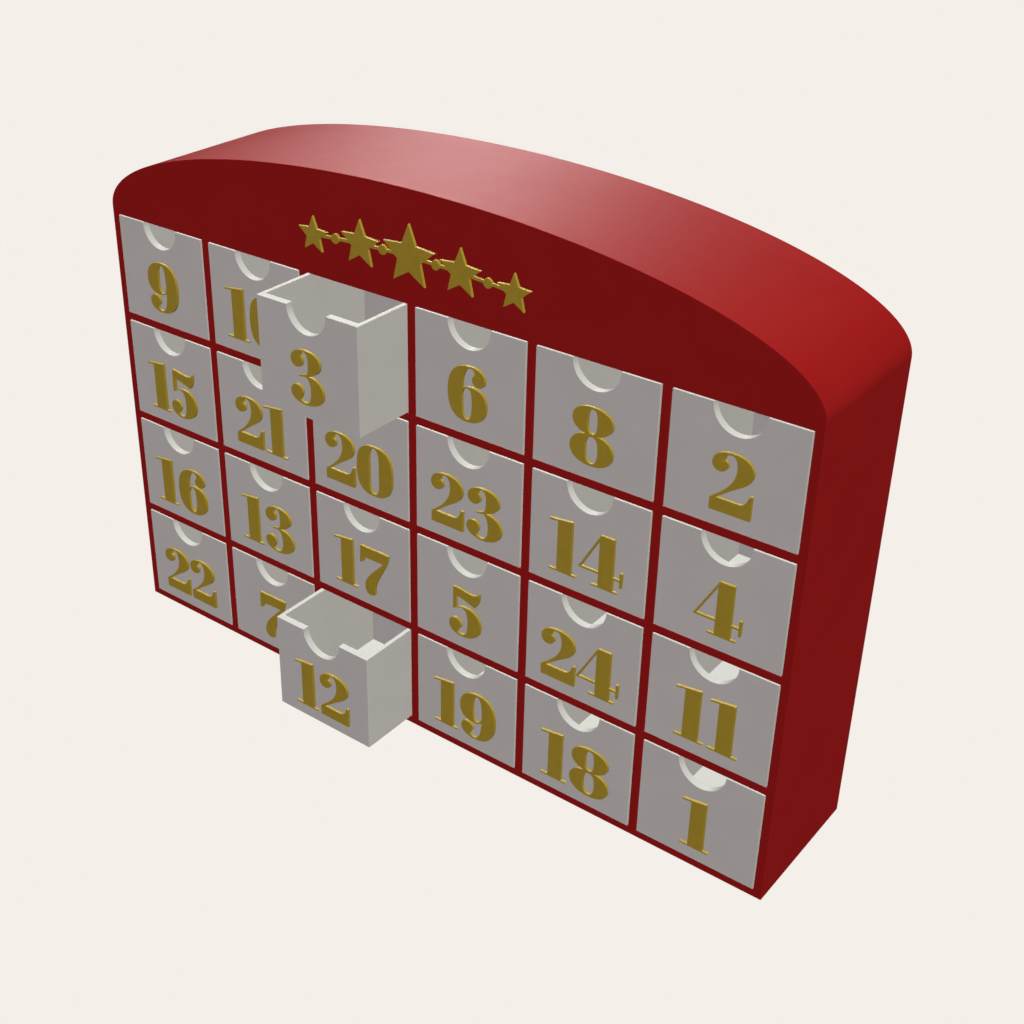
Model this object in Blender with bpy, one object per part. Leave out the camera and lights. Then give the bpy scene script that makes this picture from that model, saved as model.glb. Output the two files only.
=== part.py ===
# Advent calendar cabinet: an arched case with 24 numbered drawers.
# Metres, +Z up. The front faces -Y and the origin is the middle of the base, on the floor.

import math

import bmesh
import bpy
from mathutils import Matrix, Vector
from mathutils.geometry import interpolate_bezier

# Drawer layout, read from the front, top row first
LAYOUT = ((9, 10, 3, 6, 8, 2),
          (15, 21, 20, 23, 14, 4),
          (16, 13, 17, 5, 24, 11),
          (22, 7, 12, 19, 18, 1))
PULLED_DRAWERS = (3, 12)
PULL_AT_REST = 0.027

# Drawer
DRAWER_WIDTH = 0.050
DRAWER_HEIGHT = 0.0443
DRAWER_LENGTH = 0.060
DRAWER_FRONT_WALL = 0.003
DRAWER_SIDE_WALL = 0.0018
DRAWER_BACK_WALL = 0.0018
DRAWER_FLOOR = 0.0015
NOTCH_RADIUS = 0.010
NOTCH_STEPS = 14

# Clearances
SIDE_CLEARANCE = 0.0006
TOP_CLEARANCE = 0.0005
REST_CLEARANCE = 0.0003
BACK_CLEARANCE = 0.0007
FRONT_PROUD = 0.0002
FIT_GAP = 0.0003

# Case
SHELL_WALL = 0.0032
DIVIDER_THICKNESS = 0.0032
SHELF_THICKNESS = 0.0032
DECK_THICKNESS = 0.0032
HEADER_THICKNESS = 0.0032
BACK_PANEL_THICKNESS = 0.003
ARCH_RISE = 0.04055
ARCH_STEPS = 56

# Raised numbers; their outlines are drawn in hundredths of the height
NUMERAL_HEIGHT = 0.022
NUMERAL_BASELINE = 0.0063
NUMERAL_RELIEF = 0.0011
NUMERAL_CHORD = 12
TIE_BOTTOM = 0.3
TIE_TOP = 2.1
TIE_INSET = 0.0002

# Star garland on the arch
GARLAND_RELIEF = 0.0011
GARLAND_DROP = 0.0016
STAR_SPACING = 0.0235
STAR_RADII = (0.0125, 0.0095, 0.0075)
STAR_WAIST = 0.45
STAR_POINTS = 5
BEAD_RADIUS = 0.0019
BEAD_STEPS = 16
RIBBON_WIDTH = 0.0012
RIBBON_SAG = 0.0022
RIBBON_STEPS = 32
RIBBON_INSET = 0.0002

# Sizes that follow
ROWS = len(LAYOUT)
COLUMNS = len(LAYOUT[0])
CELL_WIDTH = DRAWER_WIDTH + 2 * SIDE_CLEARANCE
CELL_HEIGHT = REST_CLEARANCE + DRAWER_HEIGHT + TOP_CLEARANCE
COLUMN_PITCH = CELL_WIDTH + DIVIDER_THICKNESS
ROW_PITCH = CELL_HEIGHT + SHELF_THICKNESS
INNER_WIDTH = COLUMNS * CELL_WIDTH + (COLUMNS - 1) * DIVIDER_THICKNESS
INNER_HEIGHT = ROWS * CELL_HEIGHT + (ROWS - 1) * SHELF_THICKNESS
CASE_WIDTH = INNER_WIDTH + 2 * SHELL_WALL
CASE_DEPTH = DRAWER_LENGTH - FRONT_PROUD + BACK_CLEARANCE + BACK_PANEL_THICKNESS
CASE_FRONT = -CASE_DEPTH / 2
CASE_BACK = CASE_DEPTH / 2
PANEL_FRONT = CASE_BACK - BACK_PANEL_THICKNESS
BOARD_BACK = PANEL_FRONT - FIT_GAP
DECK_UNDERSIDE = SHELL_WALL + INNER_HEIGHT
SPRING_LINE = DECK_UNDERSIDE + DECK_THICKNESS
HEADER_MIDDLE = (DECK_UNDERSIDE + SPRING_LINE + ARCH_RISE - SHELL_WALL) / 2
NUMERAL_UNIT = NUMERAL_HEIGHT / 100

# Turns a plate drawn flat, X across and Y up, to stand upright with its thickness towards -Y
STANDING = Matrix.Rotation(math.radians(90), 4, "X")
# Turns a plate drawn flat, X as depth and Y up, to stand with its thickness towards +X
EDGEWAYS = Matrix(((0, 0, 1, 0), (1, 0, 0, 0), (0, 1, 0, 0), (0, 0, 0, 1)))

# The six, which is also the nine turned half a turn about (41, 50)
SIX_OUTLINE = ((0.5, 48), (0.5, 82.5, 16, 100.5, 48, 100.5), (67, 100.5, 78, 92.5, 78, 80.5),
               (78, 72, 72, 67, 65, 67), (57, 67, 51.5, 72, 51.5, 78), (51.5, 82, 53, 85, 56, 86.5),
               (58, 92, 56, 97.5, 48, 97.5), (38, 97.5, 32, 85, 31, 58), (36, 62, 42, 64, 51, 64),
               (70, 64, 81.5, 53, 81.5, 34), (81.5, 11.5, 66, -1, 41, -1), (14.5, -1, 0.5, 14, 0.5, 48))
SIX_COUNTER = ((30.5, 44), (31, 54, 36, 60, 42, 60), (49, 60, 51.5, 52, 51.5, 34),
               (51.5, 14, 49, 3, 41.5, 3), (34, 3, 30.5, 14, 30.5, 44))
SIX_TURN = (82, 100)


def turned(outline):
    """The outline after half a turn, knots and handles alike."""
    return tuple(tuple(SIX_TURN[i % 2] - value for i, value in enumerate(knot)) for knot in outline)


# Fat-face numerals. Each has its gap to the digit on its left, the middle of its foot and its
# outlines. A knot of two numbers is a corner; six are two handles and the end of a curve.
NUMERALS = {
    "0": (5.5, 42, (
        ((0.5, 50), (0.5, 85.5, 10.5, 100.5, 42.5, 100.5), (74.5, 100.5, 84.5, 85.5, 84.5, 50),
         (84.5, 14.5, 74.5, -1, 42.5, -1), (10.5, -1, 0.5, 14.5, 0.5, 50)),
        ((30.5, 72), (31, 88, 34, 97, 42, 97), (50, 97, 53.5, 88, 53.5, 72), (53.5, 28),
         (53.5, 12, 50, 3, 42, 3), (34, 3, 31, 12, 30.5, 28)))),
    "1": (5.2, 28, (
        ((0.5, 0), (55, 0), (56.5, 3), (45.5, 3), (45.5, 102), (0, 96.5), (-0.5, 94),
         (16.5, 96.2), (16.5, 3), (1.5, 3)),)),
    "2": (7, 35, (
        ((-0.5, 80), (-0.5, 93, 12, 101, 33, 101), (54, 101, 69, 92, 69, 77), (69, 64, 60, 56, 50, 50),
         (36, 41.5, 22, 30, 11, 22), (47, 22), (59, 22, 62, 28, 66, 41), (70.5, 41), (70, 0), (0.5, 0),
         (0.5, 19.5), (20, 34, 41.5, 52, 41.5, 76), (41.5, 90, 38, 98, 31, 98),
         (24, 98, 20, 94, 20.5, 87), (24, 86, 26.5, 84, 26.5, 79.5), (26.5, 72, 21, 66.5, 13, 66.5),
         (5, 66.5, -0.5, 72.5, -0.5, 80)),)),
    "3": (7.5, 27, (
        ((3, 80), (3, 93, 16, 101, 36, 101), (56, 101, 70, 94, 70, 80), (70, 68, 60, 60, 43, 54.5),
         (62, 54, 76, 43, 76, 27), (76, 10, 58, -1, 34, -1), (14, -1, 0.5, 8, 0.5, 19.5),
         (0.5, 28, 7, 33.5, 15, 33.5), (23, 33.5, 28, 28, 28, 21), (28, 15, 23, 13, 23, 8),
         (23, 4.5, 28, 2.5, 34, 2.5), (43, 2.5, 47, 11, 47, 27), (47, 40, 44, 48, 38, 51.5),
         (33, 52.5, 28, 51.5, 22, 50.5), (21, 52.5), (30, 56, 36, 56, 39.5, 59), (42, 64, 42, 72, 42, 80),
         (42, 92, 39, 97.5, 33, 97.5), (27, 97.5, 25, 94, 26, 88), (29, 86, 30, 82, 30, 79),
         (30, 71, 24, 66.5, 17, 66.5), (9, 66.5, 3, 72, 3, 80)),)),
    "4": (3.8, 50, (
        ((-0.5, 26), (38, 26), (38, 3), (25.5, 3), (24, 0), (75, 0), (76, 3), (66, 3), (66, 26), (79, 26),
         (79.5, 14.5), (83, 14.5), (84, 43), (79, 43), (79.5, 29.5), (66, 29.5), (66, 100), (40, 100),
         (-0.5, 28)),
        ((4.5, 29.5), (38, 29.5), (38, 89.5)))),
    "5": (5, 24, (
        ((9.5, 99.5), (30, 99.5, 35, 95.5, 52, 95.5), (60, 95.5, 65, 99, 69, 103),
         (69, 90, 66, 78, 58, 71.5), (45, 75, 35, 81, 16.5, 82), (16.5, 58.5),
         (22, 62, 30, 63.5, 38, 63.5), (58, 63.5, 72, 50, 72, 32), (72, 12, 54, -1.5, 30, -1.5),
         (12, -1.5, 0.5, 8, 0.5, 20), (0.5, 28.5, 7, 34, 14.5, 34), (22, 34, 28, 28, 28, 21),
         (28, 14, 21, 12.5, 21, 8), (21, 4.5, 25, 2.3, 30, 2.3), (39, 2.3, 42.5, 12, 42.5, 32),
         (42.5, 52, 38, 60, 28, 60), (21, 60, 15, 55.5, 9.5, 52)),)),
    "6": (7.7, 41, (SIX_OUTLINE, SIX_COUNTER)),
    "7": (7.5, 25, (
        ((1, 100), (70, 100), (70, 86, 62, 73, 56, 61), (46, 42, 34, 26, 36, 3), (36, 0, 31, -1.5, 25, -1.5),
         (16, -1.5, 11.5, 5, 11.5, 15), (11.5, 36, 36, 54, 56, 77.5), (11, 77.5),
         (10, 70, 7, 64, -0.5, 63.5)),)),
    "8": (6.7, 41, (
        ((3.5, 77), (3.5, 92, 18, 100.5, 41, 100.5), (64, 100.5, 79.5, 92, 79.5, 77),
         (79.5, 65, 68, 56.5, 53, 52.8), (70, 50, 81.5, 41, 81.5, 26), (81.5, 9, 65, -1, 41, -1),
         (17, -1, 0.5, 9, 0.5, 26), (0.5, 41, 12, 50, 29, 52.8), (14, 56.5, 3.5, 65, 3.5, 77)),
        ((32.5, 76), (32.5, 90, 34, 97.5, 41.5, 97.5), (49, 97.5, 50.5, 90, 50.5, 76),
         (50.5, 62, 49, 54.5, 41.5, 54.5), (34, 54.5, 32.5, 62, 32.5, 76)),
        ((29.5, 27), (29.5, 42, 33, 49.5, 41, 49.5), (50, 49.5, 53, 42, 53, 27),
         (53, 10, 50, 2.5, 41, 2.5), (33, 2.5, 29.5, 10, 29.5, 27)))),
    "9": (5.7, 34, (turned(SIX_OUTLINE), turned(SIX_COUNTER))),
}


# Scene and materials

def clear_scene():
    for old in list(bpy.data.objects):
        bpy.data.objects.remove(old, do_unlink=True)


def make_material(name, colour, roughness, metallic):
    material = bpy.data.materials.new(name)
    material.use_nodes = True
    shader = material.node_tree.nodes["Principled BSDF"]
    shader.inputs["Base Color"].default_value = (*colour, 1)
    shader.inputs["Roughness"].default_value = roughness
    shader.inputs["Metallic"].default_value = metallic
    return material


def add_object(name, mesh, material, location=(0, 0, 0), parent=None):
    obj = bpy.data.objects.new(name, mesh)
    bpy.context.scene.collection.objects.link(obj)
    obj.location = location
    obj.parent = parent
    if not mesh.materials:
        mesh.materials.append(material)
    return obj


# Outlines and plates

def sample_outline(outline, chord):
    """Points, about a chord apart on its curves, along an outline that closes on itself."""
    points = [Vector(outline[0])]
    for knot in outline[1:]:
        if len(knot) == 2:
            points.append(Vector(knot))
            continue
        handle_a, handle_b, end = (Vector(knot[i:i + 2]) for i in (0, 2, 4))
        steps = max(2, round((end - points[-1]).length / chord))
        points += interpolate_bezier(points[-1], handle_a, handle_b, end, steps + 1)[1:]
    if (points[0] - points[-1]).length < 1e-6:
        points.pop()
    return [(point.x, point.y) for point in points]


def add_plate(bm, loops, thickness, base=0.0):
    """Adds a flat plate with the given outlines, the first of which may have holes after it."""
    edges = []
    for loop in loops:
        verts = [bm.verts.new((x, y, base)) for x, y in loop]
        edges += [bm.edges.new(pair) for pair in zip(verts, verts[1:] + verts[:1])]
    filled = bmesh.ops.triangle_fill(bm, edges=edges, use_beauty=True)
    faces = [item for item in filled["geom"] if isinstance(item, bmesh.types.BMFace)]
    lifted = bmesh.ops.extrude_face_region(bm, geom=faces)
    top = [item for item in lifted["geom"] if isinstance(item, bmesh.types.BMVert)]
    bmesh.ops.translate(bm, verts=top, vec=(0, 0, thickness))


def finish_mesh(bm, name, turn=Matrix.Identity(4)):
    bmesh.ops.transform(bm, matrix=turn, verts=bm.verts)
    bmesh.ops.recalc_face_normals(bm, faces=bm.faces)
    mesh = bpy.data.meshes.new(name)
    bm.to_mesh(mesh)
    bm.free()
    return mesh


def plate_mesh(name, loops, thickness, turn=Matrix.Identity(4)):
    bm = bmesh.new()
    add_plate(bm, loops, thickness)
    return finish_mesh(bm, name, turn)


def box_mesh(name, low, high):
    bm = bmesh.new()
    bmesh.ops.create_cube(bm, size=1)
    size = [b - a for a, b in zip(low, high)]
    middle = [(a + b) / 2 for a, b in zip(low, high)]
    bmesh.ops.scale(bm, verts=bm.verts, vec=size)
    bmesh.ops.translate(bm, verts=bm.verts, vec=middle)
    return finish_mesh(bm, name)


def helper(name, mesh, parent=None):
    """An operand of a Boolean, not a piece of the cabinet."""
    obj = bpy.data.objects.new(name, mesh)
    bpy.context.scene.collection.objects.link(obj)
    obj.parent = parent
    obj.hide_render = True
    obj.display_type = "WIRE"
    return obj


def add_boolean(obj, operation, operand):
    modifier = obj.modifiers.new(operand.name, "BOOLEAN")
    modifier.operation = operation
    modifier.solver = "EXACT"
    modifier.object = operand


def baked_mesh(obj, name):
    """The mesh that the object's modifiers give, after which the object is removed."""
    bpy.context.view_layer.update()
    evaluated = obj.evaluated_get(bpy.context.evaluated_depsgraph_get())
    mesh = bpy.data.meshes.new_from_object(evaluated)
    mesh.name = name
    for modifier in obj.modifiers:
        bpy.data.objects.remove(modifier.object, do_unlink=True)
    bpy.data.objects.remove(obj, do_unlink=True)
    return mesh


def arch_outline(inset, bottom):
    """The case outline seen from the front, drawn in by inset, down to the height bottom."""
    half_width = CASE_WIDTH / 2
    points = [(half_width - inset, bottom)]
    for i in range(ARCH_STEPS + 1):
        angle = math.pi * i / ARCH_STEPS
        normal = Vector((ARCH_RISE * math.cos(angle), half_width * math.sin(angle))).normalized()
        points.append((half_width * math.cos(angle) - inset * normal.x,
                       SPRING_LINE + ARCH_RISE * math.sin(angle) - inset * normal.y))
    points.append((inset - half_width, bottom))
    return points


# Case

def build_shell(material):
    """Bottom, sides and arched top in one bent band."""
    loops = (arch_outline(0, 0), arch_outline(SHELL_WALL, SHELL_WALL))
    mesh = plate_mesh("cabinet_shell", loops, CASE_DEPTH, STANDING)
    add_object("cabinet_shell", mesh, material, (0, CASE_BACK, 0))


def build_back_panel(material):
    inset = SHELL_WALL + FIT_GAP
    mesh = plate_mesh("back_panel", (arch_outline(inset, inset),), BACK_PANEL_THICKNESS, STANDING)
    add_object("back_panel", mesh, material, (0, CASE_BACK, 0))


def build_header(material):
    """The arched front board with the deck over the top drawers behind it."""
    loops = (arch_outline(SHELL_WALL + FIT_GAP, DECK_UNDERSIDE),)
    mesh = plate_mesh("arch_header", loops, HEADER_THICKNESS, STANDING)
    header = add_object("arch_header", mesh, material, (0, CASE_FRONT + HEADER_THICKNESS, 0))
    half_length = INNER_WIDTH / 2 - FIT_GAP
    overlap = CASE_FRONT + HEADER_THICKNESS / 2
    deck = helper("deck", box_mesh("deck", (-half_length, overlap, DECK_UNDERSIDE),
                                   (half_length, BOARD_BACK, SPRING_LINE)))
    add_boolean(header, "UNION", deck)


def notched_board(length, depth_start, depth_end, slots, slot_width, slot_end):
    """A board outline along X with slots open at depth_start, as deep as slot_end."""
    points = [(length[0], depth_start)]
    for slot in slots:
        left = slot - slot_width / 2
        right = slot + slot_width / 2
        points += [(left, depth_start), (left, slot_end), (right, slot_end), (right, depth_start)]
    points += [(length[1], depth_start), (length[1], depth_end), (length[0], depth_end)]
    return points


def divider_centre(index):
    return -INNER_WIDTH / 2 + (index + 1) * COLUMN_PITCH - DIVIDER_THICKNESS / 2


def shelf_centre(index):
    return SHELL_WALL + (index + 1) * ROW_PITCH - SHELF_THICKNESS / 2


def build_shelves(material):
    """Three boards with slots from the front for the dividers."""
    half_length = INNER_WIDTH / 2 - FIT_GAP
    slots = [divider_centre(i) for i in range(COLUMNS - 1)]
    slot_width = DIVIDER_THICKNESS + 2 * FIT_GAP
    outline = notched_board((-half_length, half_length), CASE_FRONT, BOARD_BACK, slots, slot_width,
                            FIT_GAP / 2)
    mesh = plate_mesh("shelf", (outline,), SHELF_THICKNESS)
    for i in range(ROWS - 1):
        add_object(f"shelf_{i + 1}", mesh, material, (0, 0, shelf_centre(i) - SHELF_THICKNESS / 2))


def build_dividers(material):
    """Five upright boards with slots from the back for the shelves."""
    height = (SHELL_WALL + FIT_GAP, DECK_UNDERSIDE - FIT_GAP)
    slots = [shelf_centre(i) for i in range(ROWS - 1)]
    slot_width = SHELF_THICKNESS + 2 * FIT_GAP
    outline = notched_board(height, BOARD_BACK, CASE_FRONT, slots, slot_width, -FIT_GAP / 2)
    upright = [(depth, up) for up, depth in outline]
    mesh = plate_mesh("divider", (upright,), DIVIDER_THICKNESS, EDGEWAYS)
    for i in range(COLUMNS - 1):
        add_object(f"divider_{i + 1}", mesh, material, (divider_centre(i) - DIVIDER_THICKNESS / 2, 0, 0))


# Drawers and their numbers

def drawer_mesh():
    """An open box with a half-round finger notch, its origin at the foot of the front face."""
    half = DRAWER_WIDTH / 2
    box = helper("box", box_mesh("box", (-half, 0, 0), (half, DRAWER_LENGTH, DRAWER_HEIGHT)))
    over = DRAWER_HEIGHT + DRAWER_SIDE_WALL
    inside = helper("inside", box_mesh(
        "inside", (DRAWER_SIDE_WALL - half, DRAWER_FRONT_WALL, DRAWER_FLOOR),
        (half - DRAWER_SIDE_WALL, DRAWER_LENGTH - DRAWER_BACK_WALL, over)))
    add_boolean(box, "DIFFERENCE", inside)
    angles = [math.pi * (1 + i / NOTCH_STEPS) for i in range(NOTCH_STEPS + 1)]
    notch = [(NOTCH_RADIUS * math.cos(a), DRAWER_HEIGHT + NOTCH_RADIUS * math.sin(a)) for a in angles]
    notch += [(NOTCH_RADIUS, over), (-NOTCH_RADIUS, over)]
    cutter = helper("notch", plate_mesh("notch", (notch,), 2 * DRAWER_FRONT_WALL, STANDING))
    cutter.location.y = 1.5 * DRAWER_FRONT_WALL
    add_boolean(box, "DIFFERENCE", cutter)
    return baked_mesh(box, "drawer")


def number_mesh(number):
    """The mesh of one number, flat on XY and centred on X, and its tie's ends if it has two digits."""
    bm = bmesh.new()
    pen = 0.0
    feet = []
    for place, digit in enumerate(str(number)):
        gap, foot, outlines = NUMERALS[digit]
        loops = [sample_outline(outline, NUMERAL_CHORD) for outline in outlines]
        low = min(x for x, _ in loops[0])
        high = max(x for x, _ in loops[0])
        shift = pen + (gap if place else 0) - low
        add_plate(bm, [[(x + shift, y) for x, y in loop] for loop in loops],
                  (NUMERAL_RELIEF - FIT_GAP) / NUMERAL_UNIT)
        pen = shift + high
        feet.append(shift + foot)
    placing = STANDING @ Matrix.Scale(NUMERAL_UNIT, 4) @ Matrix.Translation((-pen / 2, 0, 0))
    mesh = finish_mesh(bm, f"number_{number:02d}", placing)
    return mesh, [(foot - pen / 2) * NUMERAL_UNIT for foot in feet]


def build_number(number, drawer, material):
    """A raised number; a thin tie along the foot line holds two digits together."""
    name = f"number_{number:02d}"
    mesh, feet = number_mesh(number)
    obj = add_object(name, mesh, material, (0, -FIT_GAP, NUMERAL_BASELINE), drawer)
    if len(feet) == 2:
        thickness = NUMERAL_RELIEF - FIT_GAP
        tie = box_mesh(f"{name}_tie", (feet[0], TIE_INSET - thickness, TIE_BOTTOM * NUMERAL_UNIT),
                       (feet[1], -TIE_INSET, TIE_TOP * NUMERAL_UNIT))
        add_boolean(obj, "UNION", helper(f"{name}_tie", tie, obj))


def build_drawers(drawer_material, number_material):
    mesh = drawer_mesh()
    for row, numbers in enumerate(LAYOUT):
        for column, number in enumerate(numbers):
            x = -INNER_WIDTH / 2 + column * COLUMN_PITCH + CELL_WIDTH / 2
            z = SHELL_WALL + (ROWS - 1 - row) * ROW_PITCH + REST_CLEARANCE
            pull = PULL_AT_REST if number in PULLED_DRAWERS else 0
            drawer = add_object(f"drawer_{number:02d}", mesh, drawer_material,
                                (x, CASE_FRONT - FRONT_PROUD - pull, z))
            build_number(number, drawer, number_material)


# Ornament

def star_outline(x, y, radius):
    points = []
    for i in range(2 * STAR_POINTS):
        reach = radius * (STAR_WAIST if i % 2 else 1)
        angle = math.pi / 2 + math.pi * i / STAR_POINTS
        points.append((x + reach * math.cos(angle), y + reach * math.sin(angle)))
    return points


def round_outline(x, y, radius, steps):
    turn = 2 * math.pi / steps
    return [(x + radius * math.cos(turn * i), y + radius * math.sin(turn * i)) for i in range(steps)]


def garland_height(x):
    """The ribbon's height at x: it follows the arch, a little lower towards its ends."""
    reach = STAR_SPACING * (len(STAR_RADII) - 1)
    return HEADER_MIDDLE - GARLAND_DROP - RIBBON_SAG * (x / reach) ** 2


def build_garland(material):
    """A row of stars and beads on a ribbon, raised on the header."""
    thickness = GARLAND_RELIEF - FIT_GAP
    reach = STAR_SPACING * (len(STAR_RADII) - 1)
    bm = bmesh.new()
    for i in range(1 - len(STAR_RADII), len(STAR_RADII)):
        x = i * STAR_SPACING
        add_plate(bm, (star_outline(x, garland_height(x), STAR_RADII[abs(i)]),), thickness)
    for i in range(2 * (len(STAR_RADII) - 1)):
        side = 1 if i % 2 else -1
        inner, outer = STAR_RADII[i // 2], STAR_RADII[i // 2 + 1]
        x = side * (STAR_SPACING * (i // 2 + 0.5) + (inner - outer) * STAR_WAIST / 2)
        add_plate(bm, (round_outline(x, garland_height(x), BEAD_RADIUS, BEAD_STEPS),), thickness)
    mesh = finish_mesh(bm, "arch_garland", STANDING)
    garland = add_object("arch_garland", mesh, material, (0, CASE_FRONT - FIT_GAP, 0))
    across = [-reach + 2 * reach * i / RIBBON_STEPS for i in range(RIBBON_STEPS + 1)]
    lower = [(x, garland_height(x) - RIBBON_WIDTH / 2) for x in across]
    upper = [(x, garland_height(x) + RIBBON_WIDTH / 2) for x in reversed(across)]
    ribbon_mesh = plate_mesh("ribbon", (lower + upper,), thickness - 2 * RIBBON_INSET, STANDING)
    ribbon = helper("ribbon", ribbon_mesh, garland)
    ribbon.location.y = -RIBBON_INSET
    add_boolean(garland, "UNION", ribbon)


def build():
    clear_scene()
    red = make_material("cabinet_red", (0.20, 0.008, 0.007), 0.45, 0.0)
    white = make_material("drawer_white", (0.60, 0.57, 0.52), 0.6, 0.0)
    gold = make_material("number_gold", (0.42, 0.27, 0.03), 0.4, 0.3)
    build_shell(red)
    build_back_panel(red)
    build_header(red)
    build_shelves(red)
    build_dividers(red)
    build_drawers(white, gold)
    build_garland(gold)


build()
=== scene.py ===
import math

import bmesh
import bpy
from mathutils import Euler, Matrix, Vector


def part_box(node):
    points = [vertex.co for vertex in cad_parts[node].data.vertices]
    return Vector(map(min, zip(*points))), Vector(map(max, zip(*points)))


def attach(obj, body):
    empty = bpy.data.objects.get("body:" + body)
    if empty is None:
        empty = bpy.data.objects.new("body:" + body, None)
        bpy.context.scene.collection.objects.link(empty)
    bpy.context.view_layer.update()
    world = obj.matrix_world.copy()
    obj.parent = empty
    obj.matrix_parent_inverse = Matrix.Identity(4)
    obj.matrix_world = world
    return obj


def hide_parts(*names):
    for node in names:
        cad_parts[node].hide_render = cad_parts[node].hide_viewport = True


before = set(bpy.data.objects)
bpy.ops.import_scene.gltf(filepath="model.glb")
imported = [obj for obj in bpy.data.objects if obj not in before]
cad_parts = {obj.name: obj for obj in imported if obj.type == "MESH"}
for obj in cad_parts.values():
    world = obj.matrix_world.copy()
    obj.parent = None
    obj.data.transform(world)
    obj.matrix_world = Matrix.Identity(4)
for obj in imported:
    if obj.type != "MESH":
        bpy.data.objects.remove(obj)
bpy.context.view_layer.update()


# Small helpers

sharpAngle = 35           # degrees; edges that turn further are shaded sharp
creaseAngle = 60          # only edges that turn further are rounded
roundSegments = 2
near = 1e-5               # places closer than this count as the same


def srgb(red, green, blue):
    # from the eight-bit values of a picture to the linear ones of a shader
    def linear(value):
        value /= 255
        return value / 12.92 if value <= 0.04045 else ((value + 0.055) / 1.055) ** 2.4
    return (linear(red), linear(green), linear(blue), 1)


def finishMesh(name, bm):
    bmesh.ops.recalc_face_normals(bm, faces=bm.faces)
    mesh = bpy.data.meshes.new(name)
    bm.to_mesh(mesh)
    bm.free()
    return mesh


def placePiece(name, mesh, material, body, node):
    mesh.materials.clear()
    mesh.materials.append(material)
    mesh.shade_smooth()
    mesh.set_sharp_from_angle(angle=math.radians(sharpAngle))
    piece = bpy.data.objects.new(name, mesh)
    bpy.context.scene.collection.objects.link(piece)
    even = piece.modifiers.new("evenShading", "WEIGHTED_NORMAL")
    even.keep_sharp = True
    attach(piece, body)
    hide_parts(node)


def extruded(bm, shift):
    # carries all the faces along by shift and leaves a closed plate
    made = bmesh.ops.extrude_face_region(bm, geom=bm.faces[:])["geom"]
    bmesh.ops.translate(bm, verts=[item for item in made if isinstance(item, bmesh.types.BMVert)], vec=shift)
    bmesh.ops.recalc_face_normals(bm, faces=bm.faces)


def creases(bm, keep):
    # the sharp edges that keep says yes to
    return [edge for edge in bm.edges
            if edge.is_manifold and edge.calc_face_angle() > math.radians(creaseAngle) and keep(edge)]


def roundEdges(bm, edges, width):
    bmesh.ops.bevel(bm, geom=edges, offset=width, offset_type="OFFSET", segments=roundSegments,
                    profile=0.5, affect="EDGES", clamp_overlap=True, material=-1)


def middle(edge):
    return (edge.verts[0].co + edge.verts[1].co) / 2


def blockPiece(bm, low, high):
    made = bmesh.ops.create_cube(bm, size=1)["verts"]
    size = [b - a for a, b in zip(low, high)]
    centre = [(a + b) / 2 for a, b in zip(low, high)]
    bmesh.ops.scale(bm, verts=made, vec=size)
    bmesh.ops.translate(bm, verts=made, vec=centre)


# Finishes

noiseSpan = (0.3, 0.7)    # most of a noise lies between these


def newMaterial(name):
    material = bpy.data.materials.new(name)
    material.use_nodes = True
    return material


def addNoise(nodes, links, coordinates, scale, detail, roughness=0.5):
    noise = nodes.new("ShaderNodeTexNoise")
    noise.inputs["Scale"].default_value = scale
    noise.inputs["Detail"].default_value = detail
    noise.inputs["Roughness"].default_value = roughness
    links.new(coordinates, noise.inputs["Vector"])
    return noise.outputs["Fac"]


def addRange(nodes, links, value, low, high):
    span = nodes.new("ShaderNodeMapRange")
    span.inputs["From Min"].default_value = noiseSpan[0]
    span.inputs["From Max"].default_value = noiseSpan[1]
    span.inputs["To Min"].default_value = low
    span.inputs["To Max"].default_value = high
    links.new(value, span.inputs["Value"])
    return span.outputs["Result"]


def paintFinish(name, look):
    material = newMaterial(name)
    nodes, links = material.node_tree.nodes, material.node_tree.links
    shader = nodes["Principled BSDF"]
    shader.inputs["Specular IOR Level"].default_value = look["specular"]
    shader.inputs["Metallic"].default_value = look["metallic"]
    coordinates = nodes.new("ShaderNodeTexCoord").outputs["Object"]
    tone = nodes.new("ShaderNodeMix")
    tone.data_type = "RGBA"
    tone.inputs["A"].default_value = srgb(*look["dark"])
    tone.inputs["B"].default_value = srgb(*look["light"])
    cloud = addNoise(nodes, links, coordinates, look["cloudScale"], detail=4)
    links.new(addRange(nodes, links, cloud, 0, 1), tone.inputs["Factor"])
    links.new(tone.outputs["Result"], shader.inputs["Base Color"])
    sheen = addNoise(nodes, links, coordinates, look["sheenScale"], detail=3)
    links.new(addRange(nodes, links, sheen, *look["roughness"]), shader.inputs["Roughness"])
    grain = addNoise(nodes, links, coordinates, look["grainScale"], detail=3, roughness=0.6)
    bump = nodes.new("ShaderNodeBump")
    bump.inputs["Strength"].default_value = look["grainStrength"]
    bump.inputs["Distance"].default_value = look["grainDepth"]
    links.new(grain, bump.inputs["Height"])
    links.new(bump.outputs["Normal"], shader.inputs["Normal"])
    return material


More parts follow.
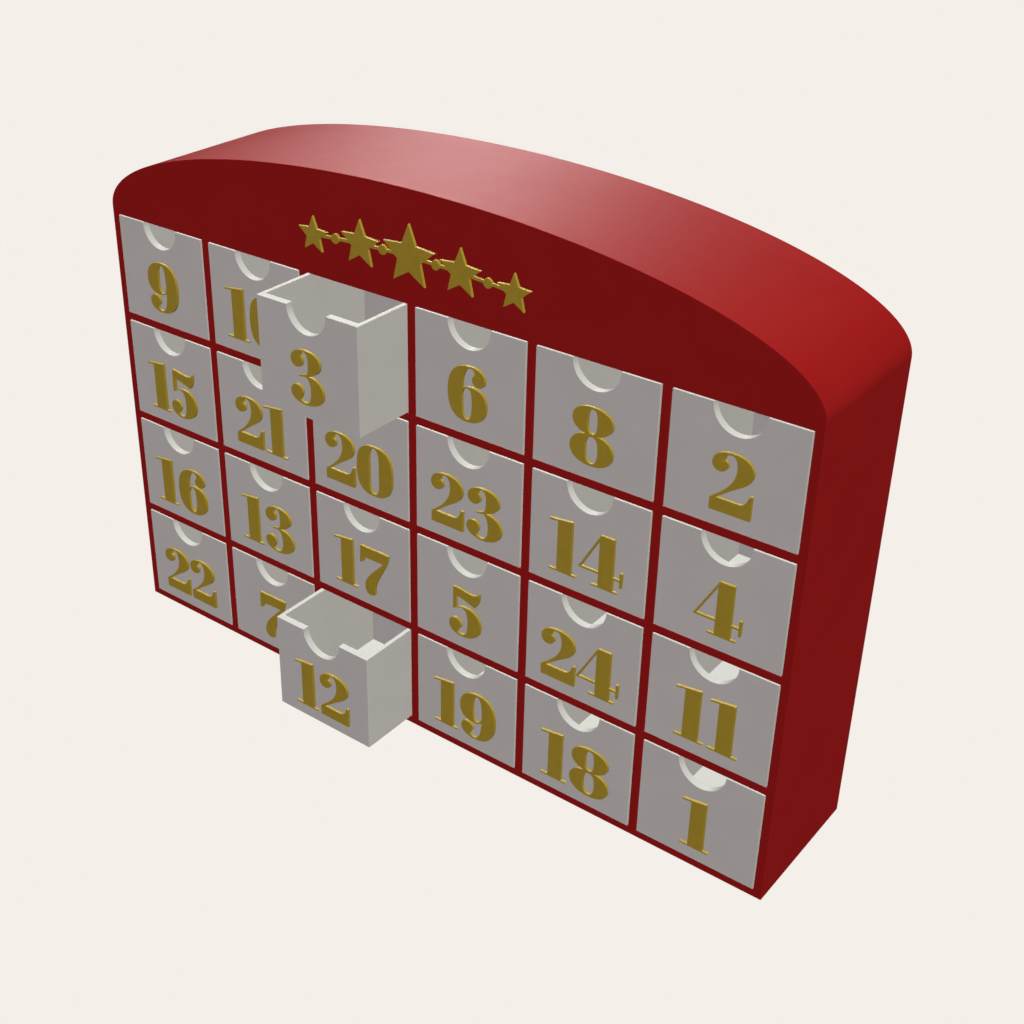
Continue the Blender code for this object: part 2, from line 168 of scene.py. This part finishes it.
cabinetRed = paintFinish("cabinetRed", {
    "dark": (169, 29, 28), "light": (172, 31, 30), "cloudScale": 40,
    "roughness": (0.54, 0.57), "sheenScale": 120, "specular": 0.5, "metallic": 0.0,
    "grainScale": 900, "grainStrength": 0.04, "grainDepth": 0.0001,
})
drawerWhite = paintFinish("drawerWhite", {
    "dark": (223, 220, 211), "light": (227, 224, 215), "cloudScale": 60,
    "roughness": (0.54, 0.58), "sheenScale": 150, "specular": 0.5, "metallic": 0.0,
    "grainScale": 1400, "grainStrength": 0.04, "grainDepth": 0.0001,
})
numberGold = paintFinish("numberGold", {
    "dark": (197, 167, 56), "light": (203, 173, 60), "cloudScale": 180,
    "roughness": (0.50, 0.56), "sheenScale": 300, "specular": 0.5, "metallic": 0.1,
    "grainScale": 2200, "grainStrength": 0.04, "grainDepth": 0.00006,
})
print("finishes made")


# Case

caseSizes = {
    "wall": 0.0034,
    "board": 0.00335,
    "shelves": 3,
    "dividers": 5,
    "archRise": 0.04055,
    "archSegments": 192,
    "footDrop": 0.00015,  # the header reaches this far below its deck
    "panelGap": 0.0001,   # between the back panel and the case round it
    "panelSunk": 0.0003,  # the back panel lies this far inside the case's back edges
    "edge": 0.00025,      # rounding of the outer edges
    "panelEdge": 0.0003,
    "boardEdge": 0.00003,
}

shellLow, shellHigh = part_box("cabinet_shell")
caseFront = shellLow.y
caseBack = shellHigh.y
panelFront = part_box("back_panel")[0].y
halfWidth = shellHigh.x
innerHalf = halfWidth - caseSizes["wall"]
springLine = shellHigh.z - caseSizes["archRise"]
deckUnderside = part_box("arch_header")[0].z


def placeCasePiece(name, bm, node):
    placePiece(name, finishMesh(name, bm), cabinetRed, "cabinet", node)


def archOutline(bm, bottom):
    # half an ellipse over two straight sides, in the plane of the case's front
    bmesh.ops.create_circle(bm, segments=2 * caseSizes["archSegments"], radius=1)
    bmesh.ops.rotate(bm, verts=bm.verts, cent=(0, 0, 0), matrix=Matrix.Rotation(math.pi / 2, 3, "X"))
    bmesh.ops.bisect_plane(bm, geom=bm.verts[:] + bm.edges[:], dist=near, plane_co=(0, 0, 0),
                           plane_no=(0, 0, 1), clear_inner=True)
    bmesh.ops.scale(bm, verts=bm.verts, vec=(halfWidth, 1, caseSizes["archRise"]))
    bmesh.ops.translate(bm, verts=bm.verts, vec=(0, caseFront, springLine))
    ends = [vert for vert in bm.verts if len(vert.link_edges) == 1]
    feet = bmesh.ops.extrude_vert_indiv(bm, verts=ends)["verts"]
    for foot in feet:
        foot.co.z = bottom
    bmesh.ops.contextual_create(bm, geom=feet)


def insetBoard(bottom, inset, front, back):
    # a board that fits inside the shell, with its foot at the height bottom
    bm = bmesh.new()
    archOutline(bm, bottom - inset)
    bmesh.ops.contextual_create(bm, geom=bm.edges[:])
    rim = bmesh.ops.inset_region(bm, faces=bm.faces[:], thickness=inset, use_boundary=True,
                                 use_even_offset=True)["faces"]
    bmesh.ops.delete(bm, geom=rim, context="FACES")
    for vert in bm.verts:
        vert.co.y = front
    extruded(bm, (0, back - front, 0))
    return bm


def makeShell():
    bm = bmesh.new()
    archOutline(bm, shellLow.z)
    wide = bmesh.ops.extrude_edge_only(bm, edges=bm.edges[:])["geom"]
    bmesh.ops.translate(bm, verts=[item for item in wide if isinstance(item, bmesh.types.BMVert)],
                        vec=(0, caseBack - caseFront, 0))
    bmesh.ops.recalc_face_normals(bm, faces=bm.faces)
    bmesh.ops.solidify(bm, geom=bm.faces[:], thickness=caseSizes["wall"])

    def outside(edge):
        # the two lower corners, and the front and back rims of the outer surface but not of the inner one
        place = middle(edge)
        onSide = abs(abs(place.x) - halfWidth) < near
        onFoot = place.z < near
        onRim = min(abs(vert.co.y - rim) for vert in edge.verts for rim in (caseFront, caseBack)) < near
        across = place.x / halfWidth
        height = springLine + caseSizes["archRise"] * math.sqrt(max(0, 1 - across * across))
        onArch = abs(place.z - height) < caseSizes["wall"] / 4
        return onSide and onFoot or onRim and (onSide or onFoot or onArch)

    roundEdges(bm, creases(bm, outside), caseSizes["edge"])
    placeCasePiece("caseShell", bm, "cabinet_shell")


def makeHeader():
    foot = deckUnderside - caseSizes["footDrop"]
    board = insetBoard(foot, caseSizes["wall"], caseFront, caseFront + caseSizes["board"])
    placeCasePiece("headerBoard", board, "arch_header")
    deck = bmesh.new()
    blockPiece(deck, (-innerHalf, caseFront + caseSizes["board"], deckUnderside),
               (innerHalf, panelFront, deckUnderside + caseSizes["board"]))
    placeCasePiece("deckBoard", deck, "arch_header")


def makeBackPanel():
    back = caseBack - caseSizes["panelSunk"]
    panel = insetBoard(caseSizes["wall"], caseSizes["wall"] + caseSizes["panelGap"], panelFront, back)
    roundEdges(panel, creases(panel, lambda edge: middle(edge).y > back - near), caseSizes["panelEdge"])
    placeCasePiece("backPanel", panel, "back_panel")


def slottedBoard(start, end, slots, slotSide):
    # a flat board along X whose slots are open at slotSide, -1 for the front and 1 for the back
    slotWidth = thickness = caseSizes["board"]
    bm = bmesh.new()
    bmesh.ops.create_grid(bm, x_segments=2 * len(slots) + 1, y_segments=2, size=1)
    stops = [start]
    for slot in slots:
        stops += [slot - slotWidth / 2, slot + slotWidth / 2]
    stops.append(end)
    columns = sorted({round(vert.co.x, 4) for vert in bm.verts})
    half = (caseFront + panelFront) / 2
    for vert in bm.verts:
        vert.co.x = stops[columns.index(round(vert.co.x, 4))]
        vert.co.y = (caseFront, half, panelFront)[round(vert.co.y) + 1]
    gone = [face for face in bm.faces for slot in slots
            if abs(face.calc_center_median().x - slot) < slotWidth / 4
            and (face.calc_center_median().y - half) * slotSide > 0]
    bmesh.ops.delete(bm, geom=gone, context="FACES")
    extruded(bm, (0, 0, thickness))
    return bm


def placeGridBoard(name, bm, node, thin):
    # rounds the front edges that run along the board; thin is the axis of its thickness
    def alongFront(edge):
        step = edge.verts[0].co - edge.verts[1].co
        return abs(middle(edge).y - caseFront) < near and abs(step[thin]) < near

    roundEdges(bm, creases(bm, alongFront), caseSizes["boardEdge"])
    placeCasePiece(name, bm, node)


def makeShelvesAndDividers():
    shelves = [f"shelf_{i + 1}" for i in range(caseSizes["shelves"])]
    dividers = [f"divider_{i + 1}" for i in range(caseSizes["dividers"])]
    shelfMiddles = [sum(corner.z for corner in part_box(node)) / 2 for node in shelves]
    dividerMiddles = [sum(corner.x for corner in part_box(node)) / 2 for node in dividers]
    upright = Matrix(((0, 0, 1), (0, 1, 0), (1, 0, 0)))
    for node, height in zip(shelves, shelfMiddles):
        bm = slottedBoard(-innerHalf, innerHalf, dividerMiddles, slotSide=-1)
        bmesh.ops.translate(bm, verts=bm.verts, vec=(0, 0, height - caseSizes["board"] / 2))
        placeGridBoard("shelf" + node[-1], bm, node, thin=2)
    for node, across in zip(dividers, dividerMiddles):
        bm = slottedBoard(caseSizes["wall"], deckUnderside, shelfMiddles, slotSide=1)
        bmesh.ops.transform(bm, matrix=upright, verts=bm.verts)
        bmesh.ops.translate(bm, verts=bm.verts, vec=(across - caseSizes["board"] / 2, 0, 0))
        placeGridBoard("divider" + node[-1], bm, node, thin=0)


makeShell()
makeHeader()
makeBackPanel()
makeShelvesAndDividers()
print("case made")


# Drawers

drawerSizes = {
    "count": 24,
    "front": 0.003,
    "side": 0.0018,
    "floor": 0.0015,
    "notch": 0.00975,
    "notchDrop": 0.0002,  # its middle lies this far below the drawer's rim
    "notchSegments": 96,
    "edge": 0.0001,
}

drawerLow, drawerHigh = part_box("drawer_09")
drawerWidth, drawerLength, drawerHeight = drawerHigh - drawerLow


def drawerFrontMesh():
    # the front board, with its half-round notch, standing on the origin
    bm = bmesh.new()
    bmesh.ops.create_circle(bm, segments=drawerSizes["notchSegments"], radius=drawerSizes["notch"])
    bmesh.ops.rotate(bm, verts=bm.verts, cent=(0, 0, 0), matrix=Matrix.Rotation(math.pi / 2, 3, "X"))
    bmesh.ops.bisect_plane(bm, geom=bm.verts[:] + bm.edges[:], dist=near, plane_co=(0, 0, 0),
                           plane_no=(0, 0, 1), clear_outer=True)
    bmesh.ops.translate(bm, verts=bm.verts, vec=(0, 0, drawerHeight - drawerSizes["notchDrop"]))
    ends = [vert for vert in bm.verts if len(vert.link_edges) == 1]
    lips = bmesh.ops.extrude_vert_indiv(bm, verts=ends)["verts"]
    for lip in lips:
        lip.co.z = drawerHeight
    corners = bmesh.ops.extrude_vert_indiv(bm, verts=lips)["verts"]
    for corner in corners:
        corner.co.x = math.copysign(drawerWidth / 2, corner.co.x)
    feet = bmesh.ops.extrude_vert_indiv(bm, verts=corners)["verts"]
    for foot in feet:
        foot.co.z = 0
    bmesh.ops.contextual_create(bm, geom=feet)
    bmesh.ops.contextual_create(bm, geom=bm.edges[:])
    extruded(bm, (0, drawerSizes["front"], 0))
    front = creases(bm, lambda edge: middle(edge).y < drawerSizes["front"] - near)
    roundEdges(bm, front, drawerSizes["edge"])
    return finishMesh("drawerFront", bm)


def drawerTrayMesh():
    # sides, back and floor behind the front board
    bm = bmesh.new()
    half = drawerWidth / 2
    blockPiece(bm, (-half, drawerSizes["front"], 0), (half, drawerLength, drawerHeight))
    gone = [face for face in bm.faces if face.normal.z > 0.5 or face.normal.y < -0.5]
    bmesh.ops.delete(bm, geom=gone, context="FACES")
    bmesh.ops.solidify(bm, geom=bm.faces[:], thickness=drawerSizes["side"])
    for vert in bm.verts:
        if abs(vert.co.z - drawerSizes["side"]) < near:
            vert.co.z = drawerSizes["floor"]
    bmesh.ops.recalc_face_normals(bm, faces=bm.faces)
    rounded = creases(bm, lambda edge: middle(edge).y > drawerSizes["front"] + near
                      and (middle(edge).z > drawerHeight - near or middle(edge).y > drawerLength - near))
    roundEdges(bm, rounded, drawerSizes["edge"])
    return finishMesh("drawerTray", bm)


def makeDrawers():
    parts = {"drawerFront": drawerFrontMesh(), "drawerTray": drawerTrayMesh()}
    for number in range(1, drawerSizes["count"] + 1):
        node = f"drawer_{number:02d}"
        low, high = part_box(node)
        place = Matrix.Translation(((low.x + high.x) / 2, low.y, low.z))
        for name, mesh in parts.items():
            copy = mesh.copy()
            copy.transform(place)
            placePiece(f"{name}{number:02d}", copy, drawerWhite, f"{node}_body", node)


makeDrawers()
print("drawers made")


# Raised numbers

numberSizes = {
    "height": 0.022,
    "baseline": 0.0062,   # above the drawer's underside
    "relief": 0.0011,
    "sunk": 0.0001,       # let into the drawer's front, so that no gap shows
    "edge": 0.00008,
    "smoothness": 10,     # steps from knot to knot
}

sameKnot = 0.01           # knots closer than this, in hundredths of the height, count as one

# Outlines in hundredths of the height. A knot of two numbers is a corner; six are two handles and
# the end of a curve. The nine is the six turned half a turn about (41, 50). A digit's gap is the
# space to the digit on its left.
sixOutline = ((0.5, 48), (0.5, 82.5, 16, 101.2, 48, 101.2), (67, 101.2, 78, 92.5, 78, 80.5),
              (78, 72, 72, 67, 65, 67), (57, 67, 51.5, 72, 51.5, 78), (51.5, 82, 53, 85, 56, 86.5),
              (58, 92, 56, 97.5, 48, 97.5), (38, 97.5, 32, 85, 31, 58), (36, 62, 42, 64, 51, 64),
              (70, 64, 81.5, 53, 81.5, 34), (81.5, 11.5, 66, -2, 41, -2), (14.5, -2, 0.5, 14, 0.5, 48))
sixCounter = ((30.5, 44), (31, 54, 36, 60, 42, 60), (49, 60, 51.5, 52, 51.5, 34),
              (51.5, 14, 49, 3, 41.5, 3), (34, 3, 30.5, 14, 30.5, 44))
nineOutline, nineCounter = (
    tuple(tuple((82, 100)[i % 2] - value for i, value in enumerate(knot)) for knot in outline)
    for outline in (sixOutline, sixCounter))
digitShapes = {
    "0": {"gap": 5.5, "outlines": (
        ((0.5, 50), (0.5, 85.5, 10.5, 100.5, 42.5, 100.5), (74.5, 100.5, 84.5, 85.5, 84.5, 50),
         (84.5, 14.5, 74.5, -1, 42.5, -1), (10.5, -1, 0.5, 14.5, 0.5, 50)),
        ((30.5, 72), (31, 88, 34, 97, 42, 97), (50, 97, 53.5, 88, 53.5, 72), (53.5, 28),
         (53.5, 12, 50, 3, 42, 3), (34, 3, 31, 12, 30.5, 28)))},
    "1": {"gap": 5.2, "outlines": (
        ((0.5, 0), (55, 0), (56.5, 3), (45.5, 3), (45.5, 103), (0, 97.5), (-0.5, 94),
         (16.5, 96.2), (16.5, 3), (1.5, 3)),)},
    "2": {"gap": 7, "outlines": (
        ((-0.5, 80), (-0.5, 93, 12, 101.8, 33, 101.8), (54, 101.8, 69, 92, 69, 77), (69, 64, 60, 56, 50, 50),
         (36, 41.5, 22, 30, 11, 22), (47, 22), (59, 22, 62, 28, 66, 41), (70.5, 41), (70, -0.6), (0.5, -0.6),
         (0.5, 19.5), (20, 34, 41.5, 52, 41.5, 76), (41.5, 90, 38, 98, 31, 98),
         (24, 98, 20, 94, 20.5, 87), (24, 86, 26.5, 84, 26.5, 79.5), (26.5, 72, 21, 66.5, 13, 66.5),
         (5, 66.5, -0.5, 72.5, -0.5, 80)),)},
    "3": {"gap": 7.5, "outlines": (
        ((3, 80), (3, 93, 16, 101, 36, 101), (56, 101, 70, 94, 70, 80), (70, 68, 60, 60, 43, 54.5),
         (62, 54, 76, 43, 76, 27), (76, 10, 58, -1, 34, -1), (14, -1, 0.5, 8, 0.5, 19.5),
         (0.5, 28, 7, 33.5, 15, 33.5), (23, 33.5, 28, 28, 28, 21), (28, 15, 23, 13, 23, 8),
         (23, 4.5, 28, 2.5, 34, 2.5), (43, 2.5, 47, 11, 47, 27), (47, 40, 44, 48, 38, 51.5),
         (33, 52.5, 28, 51.5, 22, 50.5), (21, 52.5), (30, 56, 36, 56, 39.5, 59), (42, 64, 42, 72, 42, 80),
         (42, 92, 39, 97.5, 33, 97.5), (27, 97.5, 25, 94, 26, 88), (29, 86, 30, 82, 30, 79),
         (30, 71, 24, 66.5, 17, 66.5), (9, 66.5, 3, 72, 3, 80)),)},
    "4": {"gap": 3.8, "outlines": (
        ((-0.5, 26), (38, 26), (38, 3), (25.5, 3), (24, 0), (75, 0), (76, 3), (66, 3), (66, 26), (79, 26),
         (79.5, 14.5), (83, 14.5), (84, 43), (79, 43), (79.5, 29.5), (66, 29.5), (66, 100), (40, 100),
         (-0.5, 28)),
        ((4.5, 29.5), (38, 29.5), (38, 89.5)))},
    "5": {"gap": 5, "outlines": (
        ((9.5, 100.3), (30, 100.3, 35, 96, 52, 96), (60, 96, 65, 99.5, 69, 103.8),
         (69, 90, 66, 78, 58, 71.5), (45, 75, 35, 81, 16.5, 82), (16.5, 58.5),
         (22, 62, 30, 63.5, 38, 63.5), (58, 63.5, 72, 50, 72, 32), (72, 12, 54, -1.5, 30, -1.5),
         (12, -1.5, 0.5, 8, 0.5, 20), (0.5, 28.5, 7, 34, 14.5, 34), (22, 34, 28, 28, 28, 21),
         (28, 14, 21, 12.5, 21, 8), (21, 4.5, 25, 2.3, 30, 2.3), (39, 2.3, 42.5, 12, 42.5, 32),
         (42.5, 52, 38, 60, 28, 60), (21, 60, 15, 55.5, 9.5, 52)),)},
    "6": {"gap": 7.7, "outlines": (sixOutline, sixCounter)},
    "7": {"gap": 7.5, "outlines": (
        ((1, 100.6), (70, 100.6), (70, 86, 62, 73, 56, 61), (46, 42, 34, 26, 36, 3), (36, 0, 31, -2, 25, -2),
         (16, -2, 11.5, 5, 11.5, 15), (11.5, 36, 36, 54, 56, 77.5), (11, 77.5),
         (10, 70, 7, 64, -0.5, 63.5)),)},
    "8": {"gap": 6.7, "outlines": (
        ((3.5, 77), (3.5, 92, 18, 101.6, 41, 101.6), (64, 101.6, 79.5, 92, 79.5, 77),
         (79.5, 65, 68, 56.5, 53, 52.8), (70, 50, 81.5, 41, 81.5, 26), (81.5, 9, 65, -2, 41, -2),
         (17, -2, 0.5, 9, 0.5, 26), (0.5, 41, 12, 50, 29, 52.8), (14, 56.5, 3.5, 65, 3.5, 77)),
        ((32.5, 76), (32.5, 90, 34, 97.5, 41.5, 97.5), (49, 97.5, 50.5, 90, 50.5, 76),
         (50.5, 62, 49, 54.5, 41.5, 54.5), (34, 54.5, 32.5, 62, 32.5, 76)),
        ((29.5, 27), (29.5, 42, 33, 49.5, 41, 49.5), (50, 49.5, 53, 42, 53, 27),
         (53, 10, 50, 2.5, 41, 2.5), (33, 2.5, 29.5, 10, 29.5, 27)))},
    "9": {"gap": 5.7, "outlines": (nineOutline, nineCounter)},
}


def addOutline(curve, outline):
    # a closed spline; a corner without handles gets straight sides
    corners = [{"at": outline[0]}]
    for knot in outline[1:]:
        if len(knot) == 6:
            corners[-1]["out"] = knot[:2]
            corners.append({"at": knot[4:], "in": knot[2:4]})
        else:
            corners.append({"at": knot})
    if math.dist(corners[0]["at"], corners[-1]["at"]) < sameKnot:
        corners[0]["in"] = corners.pop()["in"]
    spline = curve.splines.new("BEZIER")
    spline.bezier_points.add(len(corners) - 1)
    spline.use_cyclic_u = True
    for point, corner in zip(spline.bezier_points, corners):
        point.co = (*corner["at"], 0)
        point.handle_left_type = "FREE" if "in" in corner else "VECTOR"
        point.handle_right_type = "FREE" if "out" in corner else "VECTOR"
        point.handle_left = (*corner.get("in", corner["at"]), 0)
        point.handle_right = (*corner.get("out", corner["at"]), 0)


def digitMesh(digit):
    # one digit, lying on its back, its foot line along X and its outlines in hundredths of its height
    unit = numberSizes["height"] / 100
    curve = bpy.data.curves.new("digit", "CURVE")
    curve.dimensions = "2D"
    curve.fill_mode = "BOTH"
    curve.resolution_u = numberSizes["smoothness"]
    curve.bevel_depth = numberSizes["edge"] / unit
    curve.bevel_resolution = 1
    curve.offset = -curve.bevel_depth
    curve.extrude = (numberSizes["relief"] + numberSizes["sunk"]) / unit / 2 - curve.bevel_depth
    for outline in digitShapes[digit]["outlines"]:
        addOutline(curve, outline)
    drawn = bpy.data.objects.new("digit", curve)
    bpy.context.scene.collection.objects.link(drawn)
    bpy.context.view_layer.update()
    mesh = bpy.data.meshes.new_from_object(drawn.evaluated_get(bpy.context.evaluated_depsgraph_get()))
    bpy.data.objects.remove(drawn)
    bm = bmesh.new()
    bm.from_mesh(mesh)
    bmesh.ops.remove_doubles(bm, verts=bm.verts, dist=sameKnot)
    bmesh.ops.recalc_face_normals(bm, faces=bm.faces)
    bm.to_mesh(mesh)
    bm.free()
    return mesh


def makeNumbers():
    unit = numberSizes["height"] / 100
    digits = {digit: digitMesh(digit) for digit in digitShapes}
    middleDepth = (numberSizes["sunk"] - numberSizes["relief"]) / 2
    for number in range(1, drawerSizes["count"] + 1):
        low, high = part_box(f"drawer_{number:02d}")
        # the digits are set side by side first, and then centred on the drawer
        pen = 0
        shifts = []
        for place, digit in enumerate(str(number)):
            knots = [knot[-2] for knot in digitShapes[digit]["outlines"][0]]
            shifts.append(pen + place * digitShapes[digit]["gap"] - min(knots))
            pen = shifts[-1] + max(knots)
        for place, digit in enumerate(str(number)):
            centre = (low.x + high.x) / 2 + (shifts[place] - pen / 2) * unit
            seat = Vector((centre, low.y + middleDepth, low.z + numberSizes["baseline"]))
            upright = Matrix.Translation(seat) @ Matrix.Rotation(math.pi / 2, 4, "X") @ Matrix.Scale(unit, 4)
            mesh = digits[digit].copy()
            mesh.transform(upright)
            placePiece(f"number{number:02d}" + ("", "Right")[place], mesh, numberGold,
                       f"drawer_{number:02d}_body", f"number_{number:02d}")


makeNumbers()
print("numbers made")


# Star garland on the header

garlandSizes = {
    "stars": (0.0125, 0.0095, 0.0075),    # from the middle outwards
    "points": 5,
    "waist": 0.45,        # a star's inner corners, as a share of its radius
    "spacing": 0.0235,
    "bead": 0.0019,
    "beadSegments": 48,
    "ribbon": 0.0012,
    "ribbonSegments": 64,
    "sag": 0.0022,
    "relief": 0.0011,
    "ribbonRelief": 0.0008,
    "sunk": 0.0001,
    "edge": 0.0001,
}


def starPlate(radius):
    bm = bmesh.new()
    bmesh.ops.create_circle(bm, segments=2 * garlandSizes["points"], radius=radius)
    for vert in list(bm.verts)[1::2]:
        vert.co *= garlandSizes["waist"]
    bmesh.ops.contextual_create(bm, geom=bm.edges[:])
    return bm


def beadPlate():
    bm = bmesh.new()
    bmesh.ops.create_circle(bm, segments=garlandSizes["beadSegments"], radius=garlandSizes["bead"])
    bmesh.ops.contextual_create(bm, geom=bm.edges[:])
    return bm


def garlandHeight(across):
    # the ribbon hangs a little lower towards its ends
    reach = garlandSizes["spacing"] * (len(garlandSizes["stars"]) - 1)
    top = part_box("arch_garland")[1].z - garlandSizes["stars"][0]
    return top - garlandSizes["sag"] * (across / reach) ** 2


def mountOrnament(name, bm, across, relief):
    # raises a flat plate off the header at the distance across from its middle
    extruded(bm, (0, 0, relief + garlandSizes["sunk"]))
    rim = creases(bm, lambda edge: middle(edge).z > relief)
    roundEdges(bm, rim, garlandSizes["edge"])
    seat = Vector((across, caseFront + garlandSizes["sunk"], garlandHeight(across)))
    upright = Matrix.Translation(seat) @ Matrix.Rotation(math.pi / 2, 4, "X")
    bmesh.ops.transform(bm, matrix=upright, verts=bm.verts)
    placePiece(name, finishMesh(name, bm), numberGold, "cabinet", "arch_garland")


def makeGarland():
    stars, spacing, waist = garlandSizes["stars"], garlandSizes["spacing"], garlandSizes["waist"]
    last = len(stars) - 1
    for i in range(-last, last + 1):
        mountOrnament(f"star{i + last + 1}", starPlate(stars[abs(i)]), i * spacing, garlandSizes["relief"])
    for i in range(last):
        offset = spacing * (i + 0.5) + (stars[i] - stars[i + 1]) * waist / 2
        for side, name in ((-1, "Left"), (1, "Right")):
            mountOrnament(f"bead{name}{i + 1}", beadPlate(), side * offset, garlandSizes["relief"])
    ribbon = bmesh.new()
    reach = spacing * last
    bmesh.ops.create_grid(ribbon, x_segments=garlandSizes["ribbonSegments"], y_segments=1, size=1)
    for vert in ribbon.verts:
        vert.co.x *= reach
        vert.co.y = vert.co.y * garlandSizes["ribbon"] / 2 + garlandHeight(vert.co.x) - garlandHeight(0)
    mountOrnament("ribbon", ribbon, 0, garlandSizes["ribbonRelief"])


makeGarland()
print("garland made")


# Floor, light and camera

studioLight = {
    "backdrop": (0.905, 0.863, 0.815),
    "floorReach": 20,     # from the middle to each edge
    "floorDrop": 0.0001,  # the floor lies this far below the case, so that the two don't mix
    "fill": 0.02,         # soft light from all around
    "fillGloss": 0.01,    # its strength where gloss mirrors it
    "spread": 5,          # degrees, of each light below
    # even lights: strength, colour and where they come from
    "overheadLight": (0.66, (0.74, 1, 1), (0, 0, 1)),
    "frontLight": (1.187, (1, 0.95, 1.025), (0, -1, 0)),
    "rightLight": (2.18, (1, 0.992, 0.985), (1, 0, 1)),
    "leftLight": (0.73, (1, 1, 1), (-1, 0, 1)),
    "behindLight": (0.53, (1, 1, 1), (0, 1, 0)),
    "belowLight": (0.43, (1, 1, 1), (0, 0, -1)),
    "sheenLight": (0.876, (1, 0.9, 0.9), (-0.569, 0.715, 0.406)),    # the arched top mirrors this one
}

cameraView = {
    "place": (0.32623, -0.42130, 0.40293),
    "tilt": 61.276,       # degrees from straight down
    "roll": -0.055,
    "turn": 38.592,
    "lens": 52.475,       # focal length and sensor width are in millimetres
    "sensor": 36,
    "shiftX": 0.06638,
    "shiftY": -0.04192,
    "nearest": 0.01,
    "farthest": 100,
}


def makeFloor():
    # pale and even like the backdrop, without shadows
    bm = bmesh.new()
    bmesh.ops.create_grid(bm, x_segments=1, y_segments=1, size=studioLight["floorReach"])
    bmesh.ops.translate(bm, verts=bm.verts, vec=(0, 0, -studioLight["floorDrop"]))
    mesh = bpy.data.meshes.new("floor")
    bm.to_mesh(mesh)
    bm.free()
    material = newMaterial("floorPale")
    shader = material.node_tree.nodes["Principled BSDF"]
    shader.inputs["Base Color"].default_value = (0, 0, 0, 1)
    shader.inputs["Roughness"].default_value = 1
    shader.inputs["Specular IOR Level"].default_value = 0
    shader.inputs["Emission Color"].default_value = (*studioLight["backdrop"], 1)
    shader.inputs["Emission Strength"].default_value = 1
    mesh.materials.append(material)
    floor = bpy.data.objects.new("floor", mesh)
    bpy.context.scene.collection.objects.link(floor)
    floor.visible_glossy = False
    floor.visible_diffuse = False
    floor.visible_shadow = False


def makeWorld():
    # the camera sees the backdrop, and the pieces get the faint fill
    world = bpy.data.worlds.new("studio")
    bpy.context.scene.world = world
    world.use_nodes = True
    nodes, links = world.node_tree.nodes, world.node_tree.links
    seen = nodes.new("ShaderNodeLightPath")
    strength = nodes.new("ShaderNodeMapRange")
    strength.inputs["To Min"].default_value = studioLight["fill"]
    strength.inputs["To Max"].default_value = studioLight["fillGloss"]
    links.new(seen.outputs["Is Glossy Ray"], strength.inputs["Value"])
    fill = nodes["Background"]
    fill.inputs["Color"].default_value = (1, 1, 1, 1)
    links.new(strength.outputs["Result"], fill.inputs["Strength"])
    backdrop = nodes.new("ShaderNodeBackground")
    backdrop.inputs["Color"].default_value = (*studioLight["backdrop"], 1)
    mix = nodes.new("ShaderNodeMixShader")
    links.new(seen.outputs["Is Camera Ray"], mix.inputs["Fac"])
    links.new(fill.outputs["Background"], mix.inputs[1])
    links.new(backdrop.outputs["Background"], mix.inputs[2])
    links.new(mix.outputs["Shader"], nodes["World Output"].inputs["Surface"])


def addSun(name, strength, colour, comesFrom, mirrored):
    # a light without shadows that shades each face by where it looks; mirrored says if gloss shows it
    light = bpy.data.lights.new(name, "SUN")
    light.energy = strength
    light.color = colour
    light.angle = math.radians(studioLight["spread"])
    light.use_shadow = False
    light.cycles.max_bounces = 0
    lamp = bpy.data.objects.new(name, light)
    bpy.context.scene.collection.objects.link(lamp)
    lamp.rotation_euler = Vector(comesFrom).to_track_quat("Z", "Y").to_euler()
    lamp.visible_glossy = mirrored


def makeLights():
    for name in ("overheadLight", "frontLight", "rightLight", "leftLight", "behindLight", "belowLight"):
        addSun(name, *studioLight[name], mirrored=False)
    addSun("sheenLight", *studioLight["sheenLight"], mirrored=True)


def makeCamera():
    camera = bpy.data.cameras.new("photoCamera")
    camera.lens = cameraView["lens"]
    camera.sensor_width = cameraView["sensor"]
    camera.shift_x = cameraView["shiftX"]
    camera.shift_y = cameraView["shiftY"]
    camera.clip_start = cameraView["nearest"]
    camera.clip_end = cameraView["farthest"]
    holder = bpy.data.objects.new("photoCamera", camera)
    bpy.context.scene.collection.objects.link(holder)
    holder.location = cameraView["place"]
    angles = (cameraView["tilt"], cameraView["roll"], cameraView["turn"])
    holder.rotation_euler = Euler([math.radians(angle) for angle in angles])
    bpy.context.scene.camera = holder


makeFloor()
makeWorld()
makeLights()
makeCamera()
bpy.context.scene.view_settings.view_transform = "Standard"
print("studio made")
